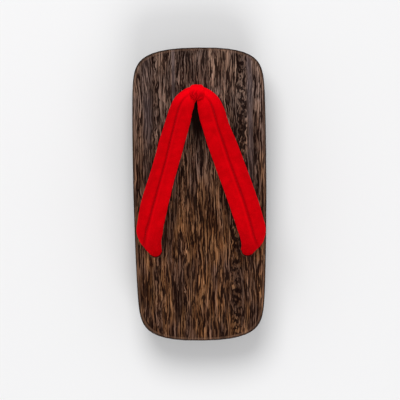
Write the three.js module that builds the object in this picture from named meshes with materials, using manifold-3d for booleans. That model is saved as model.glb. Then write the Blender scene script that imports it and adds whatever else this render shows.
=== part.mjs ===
// A wooden geta sandal, toe towards +Y and sole on z = 0, in millimetres: a rounded board on two
// cross-wise teeth, and a stuffed cloth strap in a V. A toe loop grips the middle of the strap and
// goes down through the front hole, the strap's two ends go down through the rear holes, and each
// of the three ends in a knotted cord under the board.
import * as THREE from "three";
import { mergeVertices } from "three/addons/utils/BufferGeometryUtils.js";
import Module from "manifold-3d";

const wasm = await Module();
wasm.setup();

// Board.
const boardLength = 250;
const boardWidth = 114;
const boardThickness = 20;
const widestAheadOfMiddle = 36; // the board is widest here and narrows to the heel
const heelNarrowing = 4.8; // what each side has lost at the heel end
const endSquareness = 15; // power of the length in the outline's superellipse
const cornerSquareness = 2.45; // power of the width in it
const topEdgeRadius = 2;
const bottomEdgeChamfer = 1;
const toeCutLength = 30; // the underside is cut away towards the toe tip and the heel
const toeCutHeight = 9;
const heelCutLength = 16;
const heelCutHeight = 5;

// Teeth, glued into grooves across the underside.
const toothHeight = 27; // below the board
const toothFloorThickness = 21;
const toothRootThickness = 25;
const toothInset = 1; // from the board's side
const toothChamfer = 1.2;
const grooveDepth = 4;
const toothBehindHole = 11; // from a hole's centre to the tooth's front face

// Holes.
const frontHoleFromToe = 38.5;
const frontHoleOffset = -0.5;
const rearHolesFromHeel = 77;
const rearHoleInset = 17.75; // from the board's side at its widest
const rearHoleOffset = 0.8;
const holeChamfer = 0.8;

// Strap.
const strapWidth = 25.5;
const strapThickness = 9.5;
const strapEndDiameter = 9.6;
const strapEndInHole = 7;
const archHeight = 40; // from the board to the strap's middle, at the top of its arch
const pinchLift = 21; // from the board to the strap's middle, inside the toe loop
const pinchDepth = 10.5;
const pinchHeight = 12;
const seamGroove = 1.3;
const seamHalfWidth = 1.5;
const seamOutward = 1.4; // the seam runs this far outside the strap's middle line
const undersideFlatness = 0.8;
const sectionRoundness = 2.3;
const strapFrontOffset = -1.8; // the strap's middle stands a little to the left inside the toe loop
const leanAngle = 9; // the left half stands steeper by this, and the right half lies flatter
const leanSpread = 0.05; // and the right half is pressed wider by this share, the left narrower
const leanShift = 0.75; // and both halves stand this much further to the left

// Toe loop and cords.
const loopWall = 1.8;
const loopHalfWidth = 6.6;
const loopHalfDepth = 6.8;
const loopReach = 3; // the sleeve follows the strap as far as this row of the table
const postDiameter = 9.4;
const postInHole = 8;
const cordDiameter = 4.6;
const knotTurnRadius = 4.3;
const tailLength = 15;
const clearance = 0.3;

// Places that follow from the sizes.
const halfLength = boardLength / 2;
const undersideZ = toothHeight;
const topZ = toothHeight + boardThickness;
const frontHoleY = halfLength - frontHoleFromToe;
const rearHoleY = rearHolesFromHeel - halfLength;
const rearHoleX = boardWidth / 2 - rearHoleInset;
const strapRun = frontHoleY - rearHoleY;

// The right half of the strap, from the toe loop to its hole. back and out are shares of the way to
// the rear hole, rise is the share of the climb from the pinch to the arch, stand falls to 0 where
// the strap comes down to the board, full is the share of the spread from the pinched bundle to the
// flat strap, and tip that of the gathering into the hole. turn and tilt, in degrees, place the
// strap's width: turned from across the board towards the toe, and its outer edge tilted down.
// lean is the share of the difference between the steeper left half and the flatter right one.
const strapSections = [
  { back: 0.0, out: 0.0, rise: 0.0, stand: 1.0, full: 0.0, tip: 0.0, turn: 90, tilt: 0, lean: 0.0 },
  { back: 0.015, out: 0.124, rise: 0.05, stand: 1.0, full: 0.22, tip: 0.0, turn: 55, tilt: 6, lean: 0.1 },
  { back: 0.058, out: 0.245, rise: 0.16, stand: 1.0, full: 0.6, tip: 0.0, turn: 27, tilt: 15, lean: 0.3 },
  { back: 0.11, out: 0.315, rise: 0.28, stand: 1.0, full: 0.82, tip: 0.0, turn: 19, tilt: 22, lean: 0.5 },
  { back: 0.182, out: 0.386, rise: 0.42, stand: 1.0, full: 0.93, tip: 0.0, turn: 18, tilt: 24, lean: 0.6 },
  { back: 0.294, out: 0.509, rise: 0.62, stand: 1.0, full: 1.0, tip: 0.0, turn: 18, tilt: 24, lean: 0.8 },
  { back: 0.409, out: 0.641, rise: 0.81, stand: 1.0, full: 1.0, tip: 0.0, turn: 18, tilt: 22, lean: 1.0 },
  { back: 0.524, out: 0.771, rise: 0.94, stand: 1.0, full: 1.0, tip: 0.0, turn: 18, tilt: 20, lean: 1.0 },
  { back: 0.641, out: 0.899, rise: 1.0, stand: 1.0, full: 1.0, tip: 0.0, turn: 17, tilt: 18, lean: 0.8 },
  { back: 0.743, out: 1.005, rise: 1.0, stand: 0.965, full: 1.0, tip: 0.0, turn: 14, tilt: 15, lean: 0.6 },
  { back: 0.822, out: 1.085, rise: 1.0, stand: 0.86, full: 1.0, tip: 0.0, turn: 9, tilt: 11, lean: 0.5 },
  { back: 0.882, out: 1.127, rise: 1.0, stand: 0.7, full: 1.0, tip: 0.06, turn: 4, tilt: 8, lean: 0.3 },
  { back: 0.93, out: 1.118, rise: 1.0, stand: 0.5, full: 1.0, tip: 0.3, turn: 0, tilt: 5, lean: 0.1 },
  { back: 0.967, out: 1.075, rise: 1.0, stand: 0.3, full: 1.0, tip: 0.58, turn: 0, tilt: 2, lean: 0.0 },
  { back: 0.991, out: 1.015, rise: 1.0, stand: 0.12, full: 1.0, tip: 0.86, turn: 0, tilt: 0, lean: 0.0 },
  { back: 1.0, out: 1.0, rise: 1.0, stand: 0.0, full: 1.0, tip: 1.0, turn: 0, tilt: 0, lean: 0.0 },
];
const stepsPerSection = 2;

const lerp = THREE.MathUtils.lerp;
const radians = THREE.MathUtils.degToRad;

// Solids.

function solidOf(geometry) {
  const bare = geometry.clone();
  bare.deleteAttribute("normal");
  bare.deleteAttribute("uv");
  const merged = mergeVertices(bare, 1e-4);
  return new wasm.Manifold(
    new wasm.Mesh({
      numProp: 3,
      vertProperties: new Float32Array(merged.attributes.position.array),
      triVerts: new Uint32Array(merged.index.array),
    }),
  );
}

function geometryOf(solid) {
  const mesh = solid.simplify(0.01).getMesh();
  const geometry = new THREE.BufferGeometry();
  geometry.setAttribute("position", new THREE.BufferAttribute(new Float32Array(mesh.vertProperties), 3));
  geometry.setIndex(new THREE.BufferAttribute(new Uint32Array(mesh.triVerts), 1));
  geometry.computeVertexNormals();
  return geometry;
}

// A closed surface through rings of equally many points, with a fan over each end. The rings turn
// anticlockwise seen from the last ring back towards the first.
function loft(rings) {
  const count = rings[0].length;
  const positions = rings.flat().flatMap((p) => [p.x, p.y, p.z]);
  const indices = [];
  for (let i = 0; i + 1 < rings.length; i++) {
    for (let j = 0; j < count; j++) {
      const a = i * count + j;
      const b = i * count + ((j + 1) % count);
      indices.push(a, b, b + count, a, b + count, a + count);
    }
  }
  for (const [ring, first, turned] of [
    [rings[0], 0, true],
    [rings.at(-1), (rings.length - 1) * count, false],
  ]) {
    const middle = ring.reduce((sum, p) => sum.add(p), new THREE.Vector3()).divideScalar(count);
    const hub = positions.length / 3;
    positions.push(middle.x, middle.y, middle.z);
    for (let j = 0; j < count; j++) {
      const a = first + j;
      const b = first + ((j + 1) % count);
      indices.push(...(turned ? [hub, b, a] : [hub, a, b]));
    }
  }
  const geometry = new THREE.BufferGeometry();
  geometry.setAttribute("position", new THREE.Float32BufferAttribute(positions, 3));
  geometry.setIndex(indices);
  return geometry;
}

// An upright cylinder between two heights.
function post(radius, bottom, top, sides = 32) {
  const geometry = new THREE.CylinderGeometry(radius, radius, top - bottom, sides);
  return geometry.rotateX(Math.PI / 2).translate(0, 0, (bottom + top) / 2);
}

// Board.

// The outline's half width at a place along the board, before its ends are rounded.
function sideAt(y) {
  const fromWidest = (y - widestAheadOfMiddle) / (halfLength + widestAheadOfMiddle);
  return boardWidth / 2 - heelNarrowing * fromWidest ** 2;
}

// The outline turns anticlockwise from the right side's middle, as a superellipse whose half width
// follows the side. inset is how far it lies inside the board's edge.
function boardOutline(inset, stepsPerQuarter = 22) {
  const points = [];
  const quarters = [
    { sideX: 1, endY: 1, back: false },
    { sideX: -1, endY: 1, back: true },
    { sideX: -1, endY: -1, back: false },
    { sideX: 1, endY: -1, back: true },
  ];
  for (const { sideX, endY, back } of quarters) {
    for (let i = 0; i < stepsPerQuarter; i++) {
      const share = (back ? stepsPerQuarter - i : i) / stepsPerQuarter;
      const angle = (Math.PI / 2) * share ** 3;
      const y = endY * (halfLength - inset) * Math.sin(angle) ** (2 / endSquareness);
      const x = sideX * (sideAt(y) - inset) * Math.max(Math.cos(angle), 0) ** (2 / cornerSquareness);
      points.push(new THREE.Vector2(x, y));
    }
  }
  return points;
}

function boardRing(inset, z) {
  return boardOutline(inset).map((p) => new THREE.Vector3(p.x, p.y, z));
}

// A wedge that cuts the underside away towards one end of the board.
function endCut(towards, length, height) {
  const profile = new THREE.Shape([
    new THREE.Vector2(halfLength - length, -1),
    new THREE.Vector2(halfLength + 1, -1),
    new THREE.Vector2(halfLength + 1, height * (1 + 1 / length)),
    new THREE.Vector2(halfLength - length, 0),
  ]);
  const geometry = new THREE.ExtrudeGeometry(profile, { depth: boardWidth + 2, bevelEnabled: false });
  geometry.translate(0, 0, -boardWidth / 2 - 1);
  geometry.rotateX(Math.PI / 2);
  geometry.rotateZ((towards * Math.PI) / 2);
  return solidOf(geometry.translate(0, 0, undersideZ));
}

// A drilled hole, eased at its upper rim.
function hole(x, y, radius) {
  const profile = [
    new THREE.Vector2(0, undersideZ - 1),
    new THREE.Vector2(radius, undersideZ - 1),
    new THREE.Vector2(radius, topZ - holeChamfer),
    new THREE.Vector2(radius + holeChamfer + 1, topZ + 1),
    new THREE.Vector2(0, topZ + 1),
  ];
  const geometry = new THREE.LatheGeometry(profile, 32).rotateX(Math.PI / 2);
  return solidOf(geometry.translate(x, y, 0));
}

const frontHoleRadius = postDiameter / 2 + clearance;
const rearHoleRadius = strapEndDiameter / 2 + clearance;
const holes = {
  front: { x: frontHoleOffset, y: frontHoleY, radius: frontHoleRadius },
  left: { x: rearHoleOffset - rearHoleX, y: rearHoleY, radius: rearHoleRadius },
  right: { x: rearHoleOffset + rearHoleX, y: rearHoleY, radius: rearHoleRadius },
};
const frontToothY = frontHoleY - toothBehindHole - toothRootThickness / 2;
const rearToothY = rearHoleY - toothBehindHole - toothRootThickness / 2;

function groove(y) {
  const geometry = new THREE.BoxGeometry(
    boardWidth + 2,
    toothRootThickness + 2 * clearance,
    grooveDepth + clearance + 1,
  );
  return solidOf(geometry.translate(0, y, undersideZ + (grooveDepth + clearance - 1) / 2));
}

function board() {
  const rings = [boardRing(bottomEdgeChamfer, undersideZ), boardRing(0, undersideZ + bottomEdgeChamfer)];
  const roundSteps = 4;
  for (let i = 0; i <= roundSteps; i++) {
    const angle = ((Math.PI / 2) * i) / roundSteps;
    const inset = topEdgeRadius * (1 - Math.cos(angle));
    rings.push(boardRing(inset, topZ - topEdgeRadius * (1 - Math.sin(angle))));
  }
  let solid = solidOf(loft(rings));
  solid = solid.subtract(endCut(1, toeCutLength, toeCutHeight));
  solid = solid.subtract(endCut(-1, heelCutLength, heelCutHeight));
  solid = solid.subtract(groove(frontToothY)).subtract(groove(rearToothY));
  for (const { x, y, radius } of Object.values(holes)) {
    solid = solid.subtract(hole(x, y, radius));
  }
  return geometryOf(solid);
}

// A tooth tapers from its root in the groove to the floor.
function tooth(y) {
  const nearEnd = sideAt(y - toothRootThickness / 2);
  const halfWidth = Math.min(nearEnd, sideAt(y + toothRootThickness / 2)) - toothInset;
  const top = undersideZ + grooveDepth;
  const level = (z, halfThickness, inset) => {
    const x = halfWidth - inset;
    const t = halfThickness - inset;
    const c = toothChamfer;
    return [
      [x, t - c], [x - c, t], [c - x, t], [-x, t - c],
      [-x, c - t], [c - x, -t], [x - c, -t], [x, c - t],
    ].map(([px, py]) => new THREE.Vector3(px, y + py, z));
  };
  return loft([
    level(0, toothFloorThickness / 2, toothChamfer),
    level(toothChamfer, toothFloorThickness / 2, 0),
    level(undersideZ, toothRootThickness / 2, 0),
    level(top, toothRootThickness / 2, 0),
  ]);
}

// Strap.

// A column of the table at a place between its rows, on a smooth curve.
function at(column, place) {
  const last = strapSections.length - 1;
  const row = Math.min(Math.floor(place), last - 1);
  const [p0, p1, p2, p3] = [row - 1, row, row + 1, row + 2].map((i) => {
    if (i < 0) return column === "out" ? -strapSections[1].out : strapSections[-i][column];
    return strapSections[Math.min(i, last)][column];
  });
  const t = place - row;
  return 0.5 * (2 * p1 + (p2 - p0) * t + (2 * p0 - 5 * p1 + 4 * p2 - p3) * t ** 2
    + (3 * p1 - p0 - 3 * p2 + p3) * t ** 3);
}

function strapMiddle(place, side) {
  const height = lerp(pinchLift, archHeight, at("rise", place)) * at("stand", place);
  return new THREE.Vector3(
    at("out", place) * rearHoleX - side * leanShift * at("lean", place),
    frontHoleY - at("back", place) * strapRun,
    topZ + height,
  );
}

// The strap's cross-section, turning from its outer edge over the top: two rounded halves with the
// seam's groove between them, and a flatter underside. across and up are its two half sizes.
function strapProfile(halfWidth, halfThickness, grooveShare) {
  const round = (angle) => {
    const c = Math.cos(angle);
    const s = Math.sin(angle);
    const across = halfWidth * Math.sign(c) * Math.abs(c) ** (2 / sectionRoundness);
    const up = halfThickness * Math.sign(s) * Math.abs(s) ** (2 / sectionRoundness);
    return { across, up: up < 0 ? up * undersideFlatness : up };
  };
  const rim = (across) => {
    const share = Math.min(Math.abs(across) / halfWidth, 1);
    return halfThickness * (1 - share ** sectionRoundness) ** (1 / sectionRoundness);
  };
  const profile = [0, 18, 36, 54].map((degrees) => round(radians(degrees)));
  for (const step of [2, 1, 0, -1, -2]) {
    const across = seamOutward * grooveShare + (step * seamHalfWidth * halfWidth * 2) / strapWidth;
    const dip = [1, 0.12, 0][Math.abs(step)] * seamGroove * grooveShare;
    profile.push({ across, up: rim(across) - dip });
  }
  for (const degrees of [126, 144, 162, 180, 200, 220, 245, 270, 295, 320, 340]) {
    profile.push(round(radians(degrees)));
  }
  return profile;
}

// One ring of the strap's right half, grown outwards by grow. side is 1 for the right half and -1
// for the left, which is mirrored from it afterwards.
function strapRing(place, grow, side) {
  const last = strapSections.length - 1;
  const step = 0.05;
  const ahead = strapMiddle(Math.min(place + step, last), side);
  const along = ahead.sub(strapMiddle(Math.max(place - step, 0), side));
  if (place === 0) along.set(1, 0, 0);
  if (place === last) along.set(0, 0, -1);
  along.normalize();
  const turn = radians(at("turn", place));
  const tilt = radians(at("tilt", place) - side * leanAngle * at("lean", place));
  const wide = new THREE.Vector3(Math.cos(tilt) * Math.cos(turn), Math.cos(tilt) * Math.sin(turn), -Math.sin(tilt));
  wide.addScaledVector(along, -wide.dot(along)).normalize();
  const up = new THREE.Vector3().crossVectors(along, wide);
  const full = at("full", place);
  const tip = THREE.MathUtils.clamp(at("tip", place), 0, 1);
  const spread = 1 + side * leanSpread * at("lean", place);
  const width = lerp(lerp(pinchDepth, strapWidth * spread, full), strapEndDiameter, tip);
  const thickness = lerp(lerp(pinchHeight, strapThickness, full), strapEndDiameter, tip);
  const profile = strapProfile(width / 2 + grow, thickness / 2 + grow, full * (1 - tip));
  const middle = strapMiddle(place, side);
  return profile.map(({ across, up: high }) =>
    middle.clone().addScaledVector(wide, across).addScaledVector(up, high),
  );
}

// Mirrored to its side, and shifted from the middle line as the holes are.
function sideways(ring, side) {
  return ring.map((p) => {
    const share = THREE.MathUtils.clamp((p.y - rearHoleY) / strapRun, 0, 1);
    return new THREE.Vector3(side * p.x + lerp(rearHoleOffset, strapFrontOffset, share), p.y, p.z);
  });
}

// One half of the strap as far as a place between the table's rows, then down by tail.
function strapHalf(side, lastPlace, grow, tail) {
  const rings = [];
  for (let place = 0; place <= lastPlace + 1e-9; place += 1 / stepsPerSection) {
    rings.push(sideways(strapRing(place, grow, side), side));
  }
  if (tail > 0) rings.push(rings.at(-1).map((p) => new THREE.Vector3(p.x, p.y, p.z - tail)));
  return solidOf(loft(side > 0 ? rings : rings.reverse()));
}

// Both halves, joined inside the toe loop.
function strapSolid(lastPlace, grow, tail = 0) {
  return strapHalf(1, lastPlace, grow, tail).add(strapHalf(-1, lastPlace, grow, tail));
}

function strap() {
  return geometryOf(strapSolid(strapSections.length - 1, 0, strapEndInHole));
}

// Toe loop: a sleeve over the pinched strap, on a stem that widens to hold it and stands in the hole.
function toeLoop() {
  const middleZ = topZ + pinchLift;
  const plan = (z, halfX, halfY, squareness) => {
    const ring = [];
    for (let i = 0; i < 32; i++) {
      const angle = (2 * Math.PI * i) / 32;
      const c = Math.cos(angle);
      const s = Math.sin(angle);
      ring.push(new THREE.Vector3(
        halfX * Math.sign(c) * Math.abs(c) ** (2 / squareness) + frontHoleOffset,
        halfY * Math.sign(s) * Math.abs(s) ** (2 / squareness) + frontHoleY,
        z,
      ));
    }
    return ring;
  };
  const limits = solidOf(loft([
    plan(middleZ - 2, loopHalfWidth, loopHalfDepth, 4),
    plan(middleZ + 2 * pinchHeight, loopHalfWidth, loopHalfDepth, 4),
  ]));
  const sleeve = strapSolid(loopReach, clearance + loopWall).intersect(limits);
  const stemRadius = postDiameter / 2;
  const under = middleZ - pinchHeight / 2 - loopWall;
  const stem = solidOf(loft([
    plan(topZ - postInHole, stemRadius, stemRadius, 2),
    plan(under - 5, stemRadius, stemRadius, 2),
    plan(under - 1, stemRadius + 0.7, stemRadius + 0.8, 2.2),
    plan(under + 2, loopHalfWidth - 0.6, loopHalfDepth - 0.6, 3),
    plan(middleZ - 2, loopHalfWidth, loopHalfDepth, 4),
    plan(middleZ - 1, loopHalfWidth, loopHalfDepth, 4),
  ]));
  return geometryOf(sleeve.add(stem).subtract(strapSolid(loopReach + 1, clearance)));
}

// Cord: a stem in the hole, with a knot of two turns and two cut tails under the board.
function knottedCord({ x, y }, depthInHole, tailTurn) {
  const radius = cordDiameter / 2;
  const knotTop = undersideZ - clearance;
  const turnZ = knotTop - radius;
  const stem = solidOf(post(radius, turnZ - cordDiameter, topZ - depthInHole - clearance, 16));
  const core = solidOf(post(knotTurnRadius, turnZ - cordDiameter, turnZ, 20));
  const turn = new THREE.TorusGeometry(knotTurnRadius, radius, 10, 20);
  const upperTurn = solidOf(turn.clone().translate(0, 0, turnZ));
  const lowerTurn = solidOf(turn.clone().rotateX(radians(24)).translate(0, 0, turnZ - 0.8 * cordDiameter));
  let knot = stem.add(core).add(upperTurn).add(lowerTurn);
  for (const heading of [tailTurn, tailTurn + 115]) {
    const tail = new THREE.CylinderGeometry(radius, radius, tailLength, 14);
    tail.rotateZ(Math.PI / 2).translate(tailLength / 2, 0, 0);
    tail.rotateY(radians(14)).rotateZ(radians(heading));
    knot = knot.add(solidOf(tail.translate(0, 0, turnZ - cordDiameter)));
  }
  return geometryOf(knot.translate(x, y, 0));
}

// Assembly.
const finishes = {
  wood: new THREE.MeshStandardMaterial({ color: 0x4b3529, roughness: 0.75, metalness: 0 }),
  cloth: new THREE.MeshStandardMaterial({ color: 0xc4000f, roughness: 0.9, metalness: 0 }),
  cord: new THREE.MeshStandardMaterial({ color: 0xb59c72, roughness: 0.95, metalness: 0 }),
};

const geta = new THREE.Group();
function place(name, geometry, finish) {
  const mesh = new THREE.Mesh(geometry, finish);
  mesh.name = name;
  geta.add(mesh);
}
place("board", board(), finishes.wood);
place("front_tooth", tooth(frontToothY), finishes.wood);
place("rear_tooth", tooth(rearToothY), finishes.wood);
place("thong_strap", strap(), finishes.cloth);
place("toe_loop", toeLoop(), finishes.cloth);
place("front_cord", knottedCord(holes.front, postInHole, 35), finishes.cord);
place("left_cord", knottedCord(holes.left, strapEndInHole, -20), finishes.cord);
place("right_cord", knottedCord(holes.right, strapEndInHole, 85), finishes.cord);

export default geta;
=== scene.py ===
"""Looks of a wooden geta sandal with a red velveteen strap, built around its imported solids.

Metres, in the part's own frame: toe towards +Y, sole on z = 0, +X to the right seen from above.
"""
import math

import bmesh
import bpy
import numpy as np
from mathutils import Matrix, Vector, noise
from mathutils.geometry import delaunay_2d_cdt


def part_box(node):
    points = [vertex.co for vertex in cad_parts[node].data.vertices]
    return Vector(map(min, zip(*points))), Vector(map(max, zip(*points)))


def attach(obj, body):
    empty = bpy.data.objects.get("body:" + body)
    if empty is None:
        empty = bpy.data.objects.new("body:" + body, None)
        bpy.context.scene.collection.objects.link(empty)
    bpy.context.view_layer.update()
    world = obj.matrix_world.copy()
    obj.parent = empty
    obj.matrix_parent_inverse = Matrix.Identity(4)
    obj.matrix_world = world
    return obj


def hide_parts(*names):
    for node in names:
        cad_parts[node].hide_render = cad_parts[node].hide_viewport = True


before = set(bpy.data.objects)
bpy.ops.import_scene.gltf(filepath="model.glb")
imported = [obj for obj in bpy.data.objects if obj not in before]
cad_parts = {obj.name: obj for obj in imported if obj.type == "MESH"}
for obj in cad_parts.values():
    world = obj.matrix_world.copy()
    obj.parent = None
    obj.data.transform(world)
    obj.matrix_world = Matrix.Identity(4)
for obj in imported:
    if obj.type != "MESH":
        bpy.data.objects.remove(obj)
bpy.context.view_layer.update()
MM = 0.001

# Studio
# A pale matt table, one large soft light beyond the toe and a weaker one beyond the heel, and a
# camera straight above with the toe at the top of the picture.
camera_height = 6.0
frame_width = 341 * MM       # what 400 pixels of the picture cover on the board's top
frame_centre = (0.0, -5.1 * MM)
camera_roll = math.radians(-0.755)
board_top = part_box("board")[1].z

camera_data = bpy.data.cameras.new("camera")
camera_data.sensor_width = 36.0
camera_data.lens = 36.0 * (camera_height - board_top) / frame_width
camera_data.clip_end = 20.0
camera = bpy.data.objects.new("camera", camera_data)
camera.location = (*frame_centre, camera_height)
camera.rotation_euler = (0.0, 0.0, camera_roll)
bpy.context.scene.collection.objects.link(camera)
bpy.context.scene.camera = camera
bpy.context.scene.view_settings.view_transform = "Standard"


def linear(hex_colour):
    """An sRGB hex colour as linear red, green, blue and alpha."""
    values = [int(hex_colour[i:i + 2], 16) / 255 for i in (1, 3, 5)]
    return (*(v / 12.92 if v <= 0.04045 else ((v + 0.055) / 1.055) ** 2.4 for v in values), 1.0)


def add(tree, kind, inputs=None, **settings):
    """Adds a node. inputs maps a socket's name or number to a value, or to what it is linked from:
    a socket, or a node for its first output."""
    node = tree.nodes.new(kind)
    for name, value in settings.items():
        setattr(node, name, value)
    for key, value in (inputs or {}).items():
        if isinstance(value, bpy.types.Node):
            value = value.outputs[0]
        if isinstance(value, bpy.types.NodeSocket):
            tree.links.new(value, node.inputs[key])
        else:
            node.inputs[key].default_value = value
    return node


def new_material(name):
    """An empty node material, and the tree that it holds."""
    material = bpy.data.materials.new(name)
    material.use_nodes = True
    tree = material.node_tree
    tree.nodes.clear()
    return material, tree


def new_piece(name, mesh):
    """An object for a finished mesh, at the origin."""
    piece = bpy.data.objects.new(name, mesh)
    bpy.context.scene.collection.objects.link(piece)
    return piece


def soft_light(name, place, aim, size, power):
    """A round soft light, aimed at a point."""
    data = bpy.data.lights.new(name, "AREA")
    data.shape = "DISK"
    data.size = size
    data.energy = power
    light = bpy.data.objects.new(name, data)
    light.location = place
    light.rotation_euler = (Vector(aim) - Vector(place)).to_track_quat("-Z", "Y").to_euler()
    bpy.context.scene.collection.objects.link(light)


aim = (0, 0, board_top)
soft_light("key_light", (-0.2, 0.9, 1.7), aim, 1.1, 18.0)
soft_light("heel_fill", (0.3, -1.5, 1.5), aim, 1.4, 16.0)

world = bpy.data.worlds.new("studio")
world.use_nodes = True
world.node_tree.nodes["Background"].inputs["Color"].default_value = linear("#f4f4f6")
world.node_tree.nodes["Background"].inputs["Strength"].default_value = 0.46
bpy.context.scene.world = world

# rolled emulsion paint has no gloss, so the shoe leaves a soft shadow on it and no reflection
table_paint, paint_tree = new_material("matt_emulsion_paint")
table_shader = add(paint_tree, "ShaderNodeBsdfPrincipled",
                   {"Base Color": linear("#f3f3f3"), "Roughness": 0.9})
add(paint_tree, "ShaderNodeOutputMaterial", {"Surface": table_shader.outputs["BSDF"]})
table_mesh = bpy.data.meshes.new("table")
table_mesh.from_pydata([(-4, -4, 0), (4, -4, 0), (4, 4, 0), (-4, 4, 0)], [], [(0, 1, 2, 3)])
table_mesh.materials.append(table_paint)
table = new_piece("table", table_mesh)

# Board
# A plank of softwood with its grain along the shoe, charred and then wire-brushed: the soft early
# wood is burnt black and brushed out into short pits, and the hard late wood stands up between
# them in brown and grey streaks. Its top edge is rounded over, its holes drilled.
grid_across = 0.45           # mm between points of the brushed top
grid_along = 1.5
ring_pitch = 2.9             # mm between growth rings
ring_drift = 24.0            # radians that they wander
pit_depth = 0.32             # mm
streak_depth = 0.30
pit_edge = (0.465, 0.525)    # between the floor of a pit and its rim, on the pits' pattern
grid_jitter = 0.06           # mm
rim_clearance = 0.55         # mm kept between the grid and the edges that it meets
patch_fade = (1.45, 0.4)     # of a patch's half size, where its effect starts and is full
golden_fades = (-60.0, 85.0)     # mm along the board, over which its gold fades towards the toe
grey_grows = (-20.0, 80.0)       # over which it turns paler and greyer
ashen_grows = (-30.0, 60.0)      # over which its smooth grey bands come up
rim_light_band = (0.7, 0.15)        # mm inside its edge, where the light band of wear and painted highlight starts and is full
rim_shade_band = (-0.05, -0.7)        # mm down its side, where the painted shade of the rounded edge and the sides starts and is full
unbrushed_edge = (0.05, 1.2)     # mm inside its edge, over which the brush goes to its full depth
sway, curl, curl_twisted = 5.0, 1.0, 7.0    # mm that the grain bends, and more where contorted
bend_patterns = {            # how the grain bends: mm across, along and deep, and the detail
    "sway": ((13.0, 34.0, 13.0), 1.0),     # slowly
    "curl": ((5.0, 6.5, 5.0), 1.5),        # quickly
    "spot": ((2.7, 4.2, 2.7), 1.5),        # in short pits where it is contorted
}
fibre_patterns = {           # what follows the bent grain
    "fleck": ((1.0, 12.0, 1.0), 2.5),      # where the long pits open and close
    "wander": ((5.0, 60.0, 5.0), 1.0),     # how the growth rings drift
    "streak": ((0.85, 34.0, 0.85), 2.0),   # the fine lines of late wood
    "plank": ((7.0, 80.0, 7.0), 2.0),      # broad bands of tone
    "patch": ((5.5, 24.0, 5.5), 1.0),      # where the brown shows through
    "fibre": ((0.5, 14.0, 0.5), 2.0),      # single bundles of fibres
}
contorted = [(37.0, 72.0, 4.2, 84.0, 1.0), (30.0, -80.0, 4.2, 84.0, 1.0),
             (-37.0, 0.0, 2.2, 0.0, 0.4), (-14.0, 0.0, 2.0, 0.0, 0.35)]    # x, y, half sizes, amount
smooth_grey = [(43.5, 0.0, 2.6, 0.0, 0.8), (-21.5, 0.0, 1.5, 0.0, 0.9), (-45.0, 0.0, 3.0, 0.0, 0.35),
               (-44.0, 62.0, 4.0, 26.0, 0.7)]
knots = [(-42.4, -83.0, 2.6, 6.5, 0.8), (34.0, 92.0, 2.0, 5.0, 0.5)]    # x, y, half sizes, amount
amber_spots = [(-31.0, -104.0, 2.6, 17.0, 0.8), (53.0, 24.0, 3.0, 12.0, 0.8),
               (-52.0, -22.0, 3.0, 24.0, 0.5), (8.0, 108.0, 9.0, 12.0, 0.3),
               (22.0, 112.0, 8.0, 12.0, 0.9), (-30.0, 111.0, 3.5, 11.0, 0.9),
               (-51.0, 48.0, 4.0, 34.0, 0.55), (0.0, -28.0, 20.0, 30.0, 0.7),
               (3.0, -86.0, 7.0, 34.0, 0.4)]
scorched = [(-17.5, -96.0, 6.5, 15.0, 0.34), (-12.0, -66.0, 6.0, 15.0, 0.24),
            (29.5, -70.0, 5.5, 46.0, 0.26), (-40.0, -78.0, 6.0, 16.0, 0.28),
            (36.0, 72.0, 4.5, 34.0, 0.22), (-8.0, 100.0, 9.0, 12.0, 0.14)]
painted_crotch_shadow = [(-1.3, 66.0, 9.0, 26.0, 0.97)]      # painted shadow, where the strap's crotch shades the board


def patches(tree, place, spots):
    """A value that rises smoothly to an amount inside each of some long soft patches. A patch is
    its middle, its half sizes across and along the board and its amount. A half size of 0 along
    the board is a band over its whole length."""
    total = None
    for x, y, half_x, half_y, amount in spots:
        away = add(tree, "ShaderNodeVectorMath", {0: place, 1: (x, y, 0.0)}, operation="SUBTRACT")
        shrink = (1 / half_x, 1 / half_y if half_y else 0.0, 0.0)
        away = add(tree, "ShaderNodeVectorMath", {0: away, 1: shrink}, operation="MULTIPLY")
        away = add(tree, "ShaderNodeVectorMath", {0: away}, operation="LENGTH")
        inside = add(tree, "ShaderNodeMapRange", {0: away.outputs["Value"], 1: patch_fade[0],
                                                  2: patch_fade[1], 3: 0.0, 4: amount},
                     interpolation_type="SMOOTHSTEP")
        total = inside if total is None else add(
            tree, "ShaderNodeMath", {0: total, 1: inside}, operation="MAXIMUM")
    return total


def patterns(tree, place, table):
    """The random patterns of a table, by name, each drawn out to its own size."""
    found = {}
    for name, (size, detail) in table.items():
        scaled = add(tree, "ShaderNodeVectorMath", {0: place, 1: tuple(1 / s for s in size)},
                     operation="MULTIPLY")
        found[name] = add(tree, "ShaderNodeTexNoise", {
            "Scale": 1.0, "Detail": detail, "Roughness": 0.55, "Vector": scaled})
    return found


def bent_grain(tree, place, found, twisted):
    """The place moved across the board, so that straight fibres bend, most where it is twisted."""
    slow = add(tree, "ShaderNodeMath", {0: found["sway"], 1: sway, 2: -sway / 2},
               operation="MULTIPLY_ADD")
    amount = add(tree, "ShaderNodeMath", {0: twisted, 1: curl_twisted, 2: curl},
                 operation="MULTIPLY_ADD")
    quick = add(tree, "ShaderNodeMath", {0: found["curl"], 1: 0.5}, operation="SUBTRACT")
    shift = add(tree, "ShaderNodeMath", {0: quick, 1: amount, 2: slow}, operation="MULTIPLY_ADD")
    shift = add(tree, "ShaderNodeCombineXYZ", {"X": shift})
    return add(tree, "ShaderNodeVectorMath", {0: place, 1: shift}, operation="ADD")


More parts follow.
